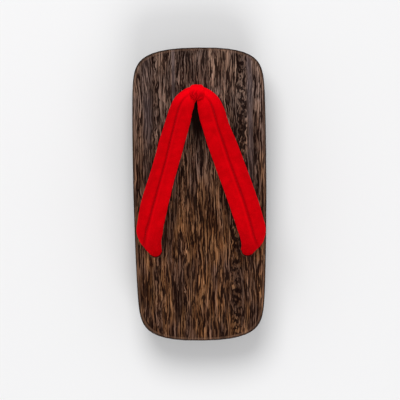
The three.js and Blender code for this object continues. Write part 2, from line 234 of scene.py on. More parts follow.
def grain(tree, place, flat_sawn):
    """Adds the wood's figure to a material or to a geometry tree, as named values from 0 to 1.
    place is in mm, with x across the grain and y along it. flat_sawn is the board's top, which
    has bands where the grain is contorted."""
    found = patterns(tree, place, bend_patterns)
    twisted = patches(tree, place, contorted if flat_sawn else [(0.0, 0.0, 1.0, 0.0, 0.0)])
    bent = bent_grain(tree, place, found, twisted)
    found.update(patterns(tree, bent, fibre_patterns))
    across = add(tree, "ShaderNodeSeparateXYZ", {0: bent})
    drift = add(tree, "ShaderNodeMath", {0: found["wander"], 1: ring_drift}, operation="MULTIPLY")
    ring = add(tree, "ShaderNodeMath", {0: across.outputs["X"], 1: 2 * math.pi / ring_pitch,
                                        2: drift}, operation="MULTIPLY_ADD")
    ring = add(tree, "ShaderNodeMath", {0: ring}, operation="SINE")
    pit = add(tree, "ShaderNodeMath", {0: ring, 1: 0.08, 2: found["fleck"]}, operation="MULTIPLY_ADD")
    if flat_sawn:
        spot = add(tree, "ShaderNodeMath", {0: found["spot"], 1: 0.02}, operation="SUBTRACT")
        share = add(tree, "ShaderNodeMath", {0: twisted, 1: 0.8}, operation="MULTIPLY")
        pit = add(tree, "ShaderNodeMix", {0: share, 2: pit, 3: spot})
        pit = add(tree, "ShaderNodeMath", {0: patches(tree, place, knots), 1: -0.09,
                                           2: pit}, operation="MULTIPLY_ADD")
    found["pits"] = add(tree, "ShaderNodeMapRange", {0: pit, 1: pit_edge[0],
                                                     2: pit_edge[1], 3: 1.0, 4: 0.0})
    return found


def late_wood(tree, place, along, figure, flat_sawn):
    """The colour of the late wood that the brush leaves standing."""
    late = add(tree, "ShaderNodeValToRGB", {0: figure["streak"]})
    late.color_ramp.elements[0].position = 0.36
    late.color_ramp.elements[0].color = linear("#250f08")
    late.color_ramp.elements[1].position = 0.64
    late.color_ramp.elements[1].color = linear("#8f6a54")
    late.color_ramp.elements.new(0.5).color = linear("#64432f")
    # the flame left broad darker and lighter bands, and every bundle of fibres its own tone
    tone = add(tree, "ShaderNodeMapRange", {0: figure["plank"], 1: 0.36, 2: 0.64, 3: 0.68, 4: 1.10})
    line = add(tree, "ShaderNodeMapRange", {0: figure["fibre"], 1: 0.36, 2: 0.64, 3: 0.68, 4: 1.22})
    tone = add(tree, "ShaderNodeMath", {0: tone, 1: line}, operation="MULTIPLY")
    if flat_sawn:
        burnt = add(tree, "ShaderNodeMath", {0: patches(tree, place, scorched), 1: -1.0, 2: 1.0},
                    operation="MULTIPLY_ADD")
        tone = add(tree, "ShaderNodeMath", {0: tone, 1: burnt}, operation="MULTIPLY")
    toned = add(tree, "ShaderNodeVectorMath", {0: late, "Scale": tone}, operation="SCALE")
    # golden where the brush went deepest, greyer and cooler elsewhere, and more so at the toe
    warm = add(tree, "ShaderNodeMapRange", {0: figure["patch"], 1: 0.40, 2: 0.68, 3: 0.0, 4: 1.0})
    if flat_sawn:
        warm = add(tree, "ShaderNodeMath", {0: warm, 1: patches(tree, place, amber_spots)},
                   operation="ADD")
    golden = add(tree, "ShaderNodeMapRange", {0: along, 1: golden_fades[0], 2: golden_fades[1],
                                              3: 1.0, 4: 0.62})
    warm = add(tree, "ShaderNodeMath", {0: warm, 1: golden}, operation="MULTIPLY")
    tint = add(tree, "ShaderNodeMix", {0: warm, 6: (0.80, 0.83, 0.92, 1.0),
                                       7: (1.31, 1.19, 0.86, 1.0)}, data_type="RGBA")
    tinted = add(tree, "ShaderNodeVectorMath", {0: toned, 1: tint.outputs[2]}, operation="MULTIPLY")
    greyer = add(tree, "ShaderNodeMapRange", {0: along, 1: grey_grows[0], 2: grey_grows[1]})
    faded = add(tree, "ShaderNodeMapRange", {0: greyer, 3: 1.0, 4: 0.74})
    bleached = add(tree, "ShaderNodeMapRange", {0: greyer, 3: 1.05, 4: 1.34})
    return add(tree, "ShaderNodeHueSaturation", {
        "Saturation": faded, "Value": bleached, "Color": tinted})


def top_wood(tree, place, along, surface, char_and_shadow):
    """The board's top: smooth ashen bands that kept their surface, painted shadow that darkens it
    all over under the strap's crotch, and wood that is dark around the knots."""
    toe_only = add(tree, "ShaderNodeMapRange", {0: along, 1: ashen_grows[0], 2: ashen_grows[1],
                                                3: 0.0, 4: 0.7})
    ashen = add(tree, "ShaderNodeMath", {0: patches(tree, place, smooth_grey),
                                         1: toe_only}, operation="MULTIPLY")
    surface = add(tree, "ShaderNodeMix", {0: ashen, 6: surface, 7: linear("#625556")},
                  data_type="RGBA").outputs[2]
    kept = add(tree, "ShaderNodeMath", {0: ashen, 1: -0.75, 2: 1.0}, operation="MULTIPLY_ADD")
    char_and_shadow = add(tree, "ShaderNodeMath", {0: char_and_shadow, 1: kept}, operation="MULTIPLY")
    # painted shadow under the strap's crotch, joined by the knots' own dark wood
    darkened = painted_crotch_shadow + [(*knot[:4], knot[4] * 0.7) for knot in knots]
    char_and_shadow = add(tree, "ShaderNodeMath", {0: char_and_shadow, 1: patches(tree, place, darkened)},
               operation="MAXIMUM")
    return surface, char_and_shadow


def rim_wear_highlight_and_shade(tree, figure, surface):
    """Just inside its rounded edge the top is lighter, partly from wear and partly a painted
    highlight; the rounded edge and the sides below it get painted shade.
    """
    edge = add(tree, "ShaderNodeAttribute", attribute_name="edge_mm").outputs["Fac"]
    # a painted highlight with some wear, along the start of the rounding
    wear_and_highlight = add(tree, "ShaderNodeMapRange", {0: edge, 1: rim_light_band[0], 2: rim_light_band[1],
                                            3: 0.0, 4: 0.5})
    wear_and_highlight = add(tree, "ShaderNodeMath", {0: wear_and_highlight, 1: figure["patch"]}, operation="MULTIPLY")
    surface = add(tree, "ShaderNodeMix", {0: wear_and_highlight, 6: surface, 7: linear("#8d6a55")},
                  data_type="RGBA").outputs[2]
    # painted shade over the rounded edge and down the sides
    over = add(tree, "ShaderNodeMapRange", {0: edge, 1: rim_shade_band[0], 2: rim_shade_band[1],
                                            3: 0.0, 4: 0.85})
    return add(tree, "ShaderNodeMix", {0: over, 6: surface, 7: linear("#150b09")},
               data_type="RGBA").outputs[2]


def charred_softwood(name, grain_turn, flat_sawn):
    """Softwood charred with a flame and wire-brushed: a matt, nearly black ground with brown and
    grey late wood left standing. grain_turn turns the pattern's length to the piece's own grain."""
    material, tree = new_material(name)
    place = add(tree, "ShaderNodeTexCoord").outputs["Object"]
    place = add(tree, "ShaderNodeMapping", {"Vector": place, "Rotation": grain_turn,
                                            "Scale": (1 / MM, 1 / MM, 1 / MM)})
    figure = grain(tree, place, flat_sawn)
    along = add(tree, "ShaderNodeSeparateXYZ", {0: place}).outputs["Y"]
    surface = late_wood(tree, place, along, figure, flat_sawn)
    char_and_shadow = add(tree, "ShaderNodeMath", {0: figure["pits"], 1: 0.93}, operation="MULTIPLY")
    if flat_sawn:
        surface, char_and_shadow = top_wood(tree, place, along, surface, char_and_shadow)
    # black char, and on the top also the painted shadow under the strap's crotch
    surface = add(tree, "ShaderNodeMix", {0: char_and_shadow, 6: surface, 7: linear("#120402")},
                  data_type="RGBA").outputs[2]
    if flat_sawn:
        # painted highlight and painted shade along the top's rounded edge, with some wear
        surface = rim_wear_highlight_and_shade(tree, figure, surface)
    height = add(tree, "ShaderNodeMath", {0: figure["fibre"], 1: 0.35, 2: figure["streak"]},
                 operation="MULTIPLY_ADD")
    height = add(tree, "ShaderNodeMath", {0: figure["pits"], 1: -1.2, 2: height},
                 operation="MULTIPLY_ADD")
    bump = add(tree, "ShaderNodeBump", {"Height": height, "Strength": 0.7, "Distance": 0.25 * MM})
    gloss = add(tree, "ShaderNodeMapRange", {0: figure["streak"], 1: 0.35, 2: 0.7, 3: 0.82, 4: 0.5})
    # char is sooty and scatters nearly all light, so it has little of plain wood's reflection
    shader = add(tree, "ShaderNodeBsdfPrincipled", {
        "Base Color": surface, "Roughness": gloss, "IOR": 1.5,
        "Specular IOR Level": 0.04, "Normal": bump})
    add(tree, "ShaderNodeOutputMaterial", {"Surface": shader.outputs["BSDF"]})
    return material


def node_copy(node):
    """A copy of a CAD node's mesh with its loose triangles joined."""
    copy = bmesh.new()
    copy.from_mesh(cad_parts[node].data)
    bmesh.ops.remove_doubles(copy, verts=copy.verts, dist=1e-6)
    return copy


def set_input(modifier, tree, name, value):
    """Sets a geometry-nodes input, found by its name, through its identifier."""
    socket = next(item for item in tree.interface.items_tree
                  if item.name == name and item.in_out == "INPUT")
    modifier[socket.identifier] = value


def geometry_tree(name, sizes):
    """An empty geometry tree with one named number for each size, and its two ends."""
    tree = bpy.data.node_groups.new(name, "GeometryNodeTree")
    tree.interface.new_socket("Geometry", in_out="INPUT", socket_type="NodeSocketGeometry")
    for label in sizes:
        tree.interface.new_socket(label, in_out="INPUT", socket_type="NodeSocketFloat")
    tree.interface.new_socket("Geometry", in_out="OUTPUT", socket_type="NodeSocketGeometry")
    return tree, tree.nodes.new("NodeGroupInput")


def end_tree(tree, geometry, material):
    """Closes a geometry tree with Realize Instances and Set Material."""
    real = add(tree, "GeometryNodeRealizeInstances", {0: geometry})
    dressed = add(tree, "GeometryNodeSetMaterial", {"Geometry": real, "Material": material})
    tree.links.new(dressed.outputs[0], tree.nodes.new("NodeGroupOutput").inputs[0])


def grown(name, source, tree, values):
    """Runs a geometry tree on a mesh and keeps the result as a plain mesh on a new piece."""
    piece = new_piece(name, source)
    modifier = piece.modifiers.new("grow", "NODES")
    modifier.node_group = tree
    for label, value in values.items():
        set_input(modifier, tree, label, value)
    graph = bpy.context.evaluated_depsgraph_get()
    result = bpy.data.meshes.new_from_object(piece.evaluated_get(graph),
                                             preserve_all_data_layers=True, depsgraph=graph)
    piece.modifiers.clear()
    piece.data = result
    result.name = name
    return piece


def shade_smooth(mesh, sharpest=180):
    """Smooth shading, with edges sharper than the given angle left crisp."""
    mesh.shade_smooth()
    if sharpest < 180:
        mesh.set_sharp_from_angle(angle=math.radians(sharpest))


def rim_distance(points, starts, steps):
    """How far each point lies from the nearest edge. An edge is its start and its step."""
    best = np.full(len(points), 1e9)
    for start, step in zip(starts, steps):
        share = np.clip(((points - start) @ step) / max(step @ step, 1e-12), 0, 1)
        best = np.minimum(best, np.linalg.norm(points - start - share[:, None] * step, axis=1))
    return best


def inside_rim(points, starts, steps):
    """Whether each point lies inside the edges, from the edges that it crosses on its way out."""
    crossings = np.zeros(len(points), int)
    for start, step in zip(starts, steps):
        rising = (start[1] > points[:, 1]) != (start[1] + step[1] > points[:, 1])
        with np.errstate(divide="ignore", invalid="ignore"):
            x_there = start[0] + (points[:, 1] - start[1]) * step[0] / step[1]
        crossings += rising & (points[:, 0] < x_there)
    return crossings % 2 == 1


def top_grid(starts, steps):
    """Points all over the top but clear of its edges, jittered so that no row of them shows."""
    (left, heel, _), (right, toe, _) = (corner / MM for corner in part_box("board"))
    xs = np.arange(left, right + 0.01, grid_across)
    ys = np.arange(heel + 0.1, toe - 0.09, grid_along)     # from just inside the heel
    grid = np.array([(x, y) for y in ys for x in xs])
    grid += np.random.default_rng(7).uniform(-grid_jitter, grid_jitter, grid.shape)
    clear = rim_distance(grid, starts, steps) > rim_clearance
    return grid[inside_rim(grid, starts, steps) & clear]


def brushed_board_mesh():
    """The board's solid with its flat top cut into a fine grid, ready to be brushed. edge_mm is
    each point's distance from the top's edges, or below 0 its depth down the sides."""
    board = node_copy("board")
    top_faces = [f for f in board.faces if f.normal.z > 0.999
                 and f.calc_center_median().z > board_top - 0.01 * MM]
    bmesh.ops.delete(board, geom=top_faces, context="FACES_ONLY")
    rim_edges = [e for e in board.edges if e.is_boundary]
    rim = list(dict.fromkeys(v for e in rim_edges for v in e.verts))
    order = {v: i for i, v in enumerate(rim)}
    ring = np.array([(v.co.x / MM, v.co.y / MM) for v in rim])
    segments = [(order[a], order[b]) for a, b in (e.verts for e in rim_edges)]
    starts = ring[[a for a, b in segments]]
    steps = ring[[b for a, b in segments]] - starts
    points, _, faces, origins, _, _ = delaunay_2d_cdt(
        [Vector(p) for p in np.vstack([ring, top_grid(starts, steps)])], segments, [], 0, 1e-5)
    corner = []
    for place, origin in zip(points, origins):
        source = origin[0] if origin else -1
        corner.append(rim[source] if 0 <= source < len(rim) else
                      board.verts.new((place.x * MM, place.y * MM, board_top)))
    middles = np.array([np.mean([points[i] for i in f], axis=0) for f in faces])
    for face, real in zip(faces, inside_rim(middles, starts, steps)):
        corners = [corner[i] for i in face]
        if real and len(set(corners)) == 3 and board.faces.get(corners) is None:
            board.faces.new(corners)
    board.normal_update()
    edge_layer = board.verts.layers.float.new("edge_mm")
    top_points = [v for v in board.verts if v.co.z > board_top - 0.001 * MM]
    flat = np.array([(v.co.x / MM, v.co.y / MM) for v in top_points])
    for v in board.verts:
        v[edge_layer] = (v.co.z - board_top) / MM
    for v, far in zip(top_points, rim_distance(flat, starts, steps)):
        v[edge_layer] = far
    mesh = bpy.data.meshes.new("board_top_cut")
    board.to_mesh(mesh)
    board.free()
    return mesh


board_wood = charred_softwood("charred_brushed_softwood", (0, 0, 0), True)
brushing, ends = geometry_tree("wire_brushing", ["Pit depth", "Streak depth"])
position = add(brushing, "GeometryNodeInputPosition")
spot = add(brushing, "ShaderNodeVectorMath", {0: position, "Scale": 1 / MM}, operation="SCALE")
found = grain(brushing, spot, True)
pit_here = add(brushing, "ShaderNodeMath", {0: found["pits"], 1: -1.0}, operation="MULTIPLY")
pit_fall = add(brushing, "ShaderNodeMath", {0: pit_here, 1: ends.outputs["Pit depth"]},
               operation="MULTIPLY")
streak_here = add(brushing, "ShaderNodeMath", {0: found["streak"], 1: 0.7}, operation="SUBTRACT")
streak_fall = add(brushing, "ShaderNodeMath", {0: streak_here, 1: ends.outputs["Streak depth"]},
                  operation="MULTIPLY")
fall = add(brushing, "ShaderNodeMath", {0: pit_fall, 1: streak_fall}, operation="ADD")
edge_here = add(brushing, "GeometryNodeInputNamedAttribute", {"Name": "edge_mm"}, data_type="FLOAT")
ease = add(brushing, "ShaderNodeMapRange", {0: edge_here, 1: unbrushed_edge[0],
                                            2: unbrushed_edge[1], 3: 0.0, 4: MM})
drop = add(brushing, "ShaderNodeMath", {0: fall, 1: ease}, operation="MULTIPLY")
drop = add(brushing, "ShaderNodeCombineXYZ", {"Z": drop})
brushed = add(brushing, "GeometryNodeSetPosition", {"Geometry": ends.outputs["Geometry"],
                                                    "Offset": drop})
end_tree(brushing, brushed, board_wood)
board = grown("brushed_board", brushed_board_mesh(), brushing,
              {"Pit depth": pit_depth, "Streak depth": streak_depth})
shade_smooth(board.data, 40)
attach(board, "root")
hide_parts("board")

# Teeth
# Two blocks of the same charred softwood with their grain upright, glued into grooves across the
# board's underside. Their solids have the true shape, so they stay and only get the wood's finish.
teeth_wood = charred_softwood("charred_softwood_upright", (math.radians(90), 0, 0), False)
for tooth in ("front_tooth", "rear_tooth"):
    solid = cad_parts[tooth]
    solid.data.materials.clear()
    solid.data.materials.append(teeth_wood)

# Strap
# A tube of red cotton velveteen stuffed with wadding around a cord, sewn down its length into two
# puffed rolls, closed underneath with a plain lining, pinched inside the toe loop and gathered
# into the two rear holes.

# a row for each section of one half, from the toe loop to its hole: turn and tilt are degrees and
# the rest are shares of the sizes below
strap_columns = "back out rise stand full tip turn tilt lean".split()
strap_rows = np.array([
    (0.000, 0.000, 0.00, 1.000, 0.00, 0.00, 90, 0, 0.0),
    (0.015, 0.124, 0.05, 1.000, 0.22, 0.00, 55, 6, 0.1),
    (0.058, 0.245, 0.16, 1.000, 0.60, 0.00, 27, 15, 0.3),
    (0.110, 0.315, 0.28, 1.000, 0.82, 0.00, 19, 22, 0.5),
    (0.182, 0.386, 0.42, 1.000, 0.93, 0.00, 18, 24, 0.6),
    (0.294, 0.509, 0.62, 1.000, 1.00, 0.00, 18, 24, 0.8),
    (0.409, 0.641, 0.81, 1.000, 1.00, 0.00, 18, 22, 1.0),
    (0.524, 0.771, 0.94, 1.000, 1.00, 0.00, 18, 20, 1.0),
    (0.641, 0.899, 1.00, 1.000, 1.00, 0.00, 17, 18, 0.8),
    (0.743, 1.005, 1.00, 0.965, 1.00, 0.00, 14, 15, 0.6),
    (0.822, 1.085, 1.00, 0.860, 1.00, 0.00, 9, 11, 0.5),
    (0.882, 1.127, 1.00, 0.700, 1.00, 0.06, 4, 8, 0.3),
    (0.930, 1.118, 1.00, 0.500, 1.00, 0.30, 0, 5, 0.1),
    (0.967, 1.075, 1.00, 0.300, 1.00, 0.58, 0, 2, 0.0),
    (0.991, 1.015, 1.00, 0.120, 1.00, 0.86, 0, 0, 0.0),
    (1.000, 1.000, 1.00, 0.000, 1.00, 1.00, 0, 0, 0.0),
])
front_y, rear_y, rear_x = 86.5, -48.0, 39.25        # mm, as the solids have them
front_shift, rear_shift = -1.8, 0.8                 # mm that the strap's ends lie to the right
arch_height, pinch_lift = 40.0, 21.0                # mm above the board, at the arch and the loop
strap_width, strap_thickness, tip_diameter = 24.9, 9.5, 9.6
pinch_depth, pinch_height = 10.5, 12.0              # mm, where the toe loop pinches it
lean_angle, lean_spread, lean_shift = 9.0, 0.01, 1.1    # degrees, share of the width, mm
section_power, underside_flatness = 2.3, 0.8
seam_back = (0.0, 0.18, 0.43, 0.68, 0.80, 0.885, 0.93, 0.965, 1.0)   # of the way to the holes
seam_out = {1: (1.4, 1.0, 0.1, 0.1, 0.1, 0.6, 3.2, 6.8, 8.5),        # mm outwards of the middle
            -1: (1.4, 1.0, -0.7, -0.7, 0.8, 3.2, 5.4, 8.0, 9.0)}
# a zone is where something starts, is full, starts to fade and ends, in rows of the table
outer_zone = {1: (3.0, 4.4, 4.4, 5.9), -1: (5.0, 6.8, 6.8, 8.8)}
outer_ease = {1: 0.45, -1: 0.60}            # mm that the outer edge is drawn in there
end_zone = (8.2, 10.5, 13.0, 14.6)
end_gather = {1: 0.45, -1: 0.9}             # mm that the outer corner is gathered in at the hole
crotch_zone = (0.6, 2.0, 4.2, 6.4)
crotch_tuck = {1: 0.0, -1: 0.6}             # mm that the inner edge is held back behind the crotch
scallop_zone = (8.0, 14.0, 30.0, 38.0)      # in mm along the strap
crotch_scallop = {1: 0.0, -1: 0.5}          # mm that it goes in and out there
crotch_pull, pull_fades = 0.5, (1.5, 6.0)   # mm that the toe loop pulls it back, fading over rows
valley_depth, valley_half = 0.75, 3.0       # mm, the soft valley that the seam lies in
cut_depth, cut_half = 0.75, 0.55            # mm, the narrow cut at its bottom
pucker_cut, pucker_depth, pucker_half = 0.30, 0.14, 2.0     # mm, deeper where a stitch holds it
crown_height, crown_away, crown_half = 0.45, 6.0, 3.2       # mm, the roll on each side of it
seam_half, ridge_half, ridge_away = 1.1, 0.9, 2.5           # mm, the painted shade along the seam and the painted highlight on the ridge beside it
hole_gather, loop_gather, pleat_count = 0.55, 0.30, 9       # mm, the pleats at both ends
lining_share = 0.72                         # of the strap's width that the lining covers
seam_crowding, crowding_half = 5, 0.17      # how much closer the points are at the seam, in radians
slow_puff, quick_puff = 0.35, 0.10          # mm, how unevenly the wadding fills it
tip_in_hole = 7.0                           # mm that each end goes down into its hole
ring_step = 1.0                                     # mm along the strap
points_above, points_below = 50, 24                 # around it
stitch_pitch, stitch_length, thread_diameter = 2.8, 1.9, 0.42       # mm
nap_size, pile_size = 7.0, 0.7                      # mm, the brushed patches and the pile
toe_loop_highlight_span = (68.0, 92.0)                           # mm along the shoe, over which the painted highlight at the toe loop rises
top_z = board_top / MM


def smooth(low, high, value):
    """Rises smoothly from 0 at low to 1 at high."""
    share = np.clip((value - low) / (high - low), 0, 1)
    return share * share * (3 - 2 * share)


def hill(away, half):
    """A smooth hill of height 1, by the distance from its middle and its half width."""
    return np.exp(-(away / half) ** 2)


def within(zone, value):
    """1 in a zone and 0 outside it, with a smooth rise and fall."""
    start, full, fading, end = zone
    return smooth(start, full, value) * (1 - smooth(fading, end, value))


def column(name, places):
    """A column of the strap's table at places between its rows, on a smooth curve."""
    values = strap_rows[:, strap_columns.index(name)]
    before = -values[1] if name == "out" else values[1]
    padded = np.concatenate([[before], values, [values[-1]]])
    row = np.clip(np.floor(places).astype(int), 0, len(values) - 2)
    t = places - row
    p0, p1, p2, p3 = (padded[row + i] for i in range(4))
    return 0.5 * (2 * p1 + (p2 - p0) * t + (2 * p0 - 5 * p1 + 4 * p2 - p3) * t ** 2
                  + (3 * p1 - p0 - 3 * p2 + p3) * t ** 3)


def strap_middle(places, side):
    """The middle line of one half at places in the table, in mm. side is 1 right and -1 left."""
    rise = pinch_lift + (arch_height - pinch_lift) * column("rise", places)
    return np.stack([
        column("out", places) * rear_x - side * lean_shift * column("lean", places),
        front_y - column("back", places) * (front_y - rear_y),
        top_z + rise * column("stand", places)], axis=1)


def strap_line(side):
    """Rings evenly along one half: how far along each is, its place in the table, and the
    directions across the strap and out of its top."""
    last = len(strap_rows) - 1
    fine = np.linspace(0, last, 900)
    lengths = np.linalg.norm(np.diff(strap_middle(fine, side), axis=0), axis=1)
    run = np.concatenate([[0], np.cumsum(lengths)])
    stops = np.linspace(0, run[-1], int(run[-1] / ring_step) + 1)
    places = np.interp(stops, run, fine)
    step = 0.05
    along = (strap_middle(np.clip(places + step, 0, last), side)
             - strap_middle(np.clip(places - step, 0, last), side))
    along[0], along[-1] = (1, 0, 0), (0, 0, -1)
    along /= np.linalg.norm(along, axis=1)[:, None]
    turn = np.radians(column("turn", places))
    tilt = np.radians(column("tilt", places) - side * lean_angle * column("lean", places))
    wide = np.stack([np.cos(tilt) * np.cos(turn), np.cos(tilt) * np.sin(turn), -np.sin(tilt)], 1)
    wide -= along * (wide * along).sum(1)[:, None]
    wide /= np.linalg.norm(wide, axis=1)[:, None]
    return stops, places, wide, np.cross(along, wide)


def strap_sizes(side, places, full, tip):
    """Half the width and half the thickness of each ring, and how far its middle is moved out."""
    spread = strap_width * (1 + side * lean_spread * column("lean", places))
    half_wide = (pinch_depth + (spread - pinch_depth) * full) * (1 - tip) / 2 + tip_diameter * tip / 2
    half_thick = ((pinch_height + (strap_thickness - pinch_height) * full) * (1 - tip)
                  + tip_diameter * tip) / 2
    outer = (end_gather[side] * within(end_zone, places)
             + outer_ease[side] * within(outer_zone[side], places))
    inner = crotch_tuck[side] * within(crotch_zone, places)
    return half_wide - outer - inner, half_thick, inner - outer


def ring_angles(seam_share):
    """The angles of a ring's points, closest together at the seam above."""
    seam_angle = math.acos(math.copysign(abs(seam_share) ** (section_power / 2), seam_share))
    spans = np.linspace(0, math.pi, 400)
    crowd = np.cumsum(1 + seam_crowding * hill(spans - seam_angle, crowding_half))
    crowd = (crowd - crowd[0]) / (crowd[-1] - crowd[0])
    above = np.interp(np.linspace(0, 1, points_above), crowd, spans)
    below = np.radians(np.linspace(180, 360, points_below + 2)[1:-1])
    return np.concatenate([above, below])


def strap_section(wide, thick, seam, grooved, pucker):
    """A ring's points, in mm across and up from its middle, from half its width and thickness: an
    oval that is flatter below, with a roll on each side of the seam. Also each point's distance
    from the seam, and whether it is on top."""
    seam_share = min(seam / wide, 0.9)
    angle = ring_angles(seam_share)
    cosine, sine = np.cos(angle), np.sin(angle)
    across = wide * np.sign(cosine) * np.abs(cosine) ** (2 / section_power)
    lift = thick * np.sign(sine) * np.abs(sine) ** (2 / section_power)
    lift = np.where(lift < 0, lift * underside_flatness, lift)
    off = across - seam_share * wide
    on_top = sine > 1e-6
    dip = (valley_depth * hill(off, valley_half)
           + (cut_depth + pucker_cut * pucker) * hill(off, cut_half)
           + pucker_depth * pucker * hill(off, pucker_half))
    crown = crown_height * hill(np.abs(off) - crown_away, crown_half)
    lift += np.where(on_top, (crown - dip) * grooved * np.abs(sine) ** 0.6, 0)
    return across, lift, off, on_top


def strap_half(side):
    """Rings of one half, from the toe loop to its hole, and how much of the lining, of the painted
    shade along the seam and of the painted highlight on the ridge beside it is at each point."""
    stops, places, wide, up = strap_line(side)
    full, tip = column("full", places), np.clip(column("tip", places), 0, 1)
    half_wide, half_thick, outwards = strap_sizes(side, places, full, tip)
    middle = strap_middle(places, side) + wide * outwards[:, None]
    middle[:, 1] -= crotch_pull * (1 - smooth(*pull_fades, places))
    grooved = full * (1 - tip)
    seam = np.interp(column("back", places), seam_back, seam_out[side]) * full
    pucker = 0.5 + 0.5 * np.cos(2 * math.pi * stops / stitch_pitch)
    # it gathers where it narrows, and lies smooth again just above the hole
    gather = (hole_gather * smooth(0.12, 0.6, tip) * (1 - smooth(stops[-1] - 3, stops[-1], stops))
              + loop_gather * (1 - smooth(0.0, 0.75, full)))
    scallop = crotch_scallop[side] * within(scallop_zone, stops)
    rings, facts = [], []
    for i, far in enumerate(stops):
        across, lift, off, on_top = strap_section(half_wide[i], half_thick[i], seam[i],
                                                  grooved[i], pucker[i])
        angle = np.arctan2(lift / half_thick[i], across / half_wide[i])
        pleat = gather[i] * np.cos(pleat_count * angle + 2.2 * side + 0.05 * far)
        wave = scallop[i] * noise.noise(Vector((far / 2.3, 0.4, 0.0)))
        inner_rim = np.clip(-across / half_wide[i], 0, 1) ** 6
        grow = 1 + (pleat + wave * inner_rim) / np.maximum(np.hypot(across, lift), 2.0)
        across, lift = across * grow, lift * grow
        rings.append(middle[i] + across[:, None] * wide[i] + lift[:, None] * up[i])
        lined = (lift < 0) & (np.abs(across) < lining_share * half_wide[i])
        # the seam value is painted shade and the ridge value a painted highlight, for the cloth's
        # colour
        facts.append(grooved[i] * np.stack([lined, hill(off, seam_half) * on_top,
                                            hill(off + ridge_away, ridge_half) * on_top], 1))
    rings.append(rings[-1] - np.array([0, 0, tip_in_hole]))
    facts.append(facts[-1])
    rings = np.array(rings)
    rings[..., 0] *= side
    share = np.clip((rings[..., 1] - rear_y) / (front_y - rear_y), 0, 1)
    rings[..., 0] += rear_shift + (front_shift - rear_shift) * share
    return rings, np.array(facts)


def stuffed(rings):
    """The rings swollen unevenly, as wadding pushed in by hand fills them."""
    out = rings - rings.mean(axis=1, keepdims=True)
    out /= np.maximum(np.linalg.norm(out, axis=2, keepdims=True), 1.0)
    puff = [slow_puff * noise.noise(Vector(p) / 11.0) + quick_puff * noise.noise(Vector(p) / 4.0)
            for p in rings.reshape(-1, 3)]
    return rings + out * np.reshape(puff, (*rings.shape[:2], 1))


def tube_faces(rings, around):
    """The faces of a tube of rings, closed by a fan around one more point at each end."""
    faces = []
    for i in range(rings - 1):
        for j in range(around):
            a, b = i * around + j, i * around + (j + 1) % around
            faces.append((a, b, b + around, a + around))
    first, last, end = rings * around, rings * around + 1, (rings - 1) * around
    for j in range(around):
        faces.append((first, (j + 1) % around, j))
        faces.append((last, end + j, end + (j + 1) % around))
    return faces


def strap_mesh():
    """The strap's mesh from hole to hole, and the points along its seam in mm."""
    right, right_facts = strap_half(1)
    left, left_facts = strap_half(-1)
    rings = stuffed(np.concatenate([left[:0:-1], right]))
    facts = np.concatenate([left_facts[:0:-1], right_facts])
    count, around = rings.shape[:2]
    points = np.vstack([rings.reshape(-1, 3), rings[0].mean(0), rings[-1].mean(0)])
    mesh = bpy.data.meshes.new("velveteen_strap")
    mesh.from_pydata([tuple(p * MM) for p in points], [], tube_faces(count, around))
    flat = np.vstack([facts.reshape(-1, 3), np.zeros((2, 3))])
    for name, values in zip(("lining", "seam", "ridge_highlight"), flat.T):
        mesh.attributes.new(name, "FLOAT", "POINT").data.foreach_set("value", values.astype(np.float32))
    sewn = facts[..., 1].argmax(axis=1)
    return mesh, [rings[i, j] for i, j in enumerate(sewn) if facts[i, j, 1] > 0.75]


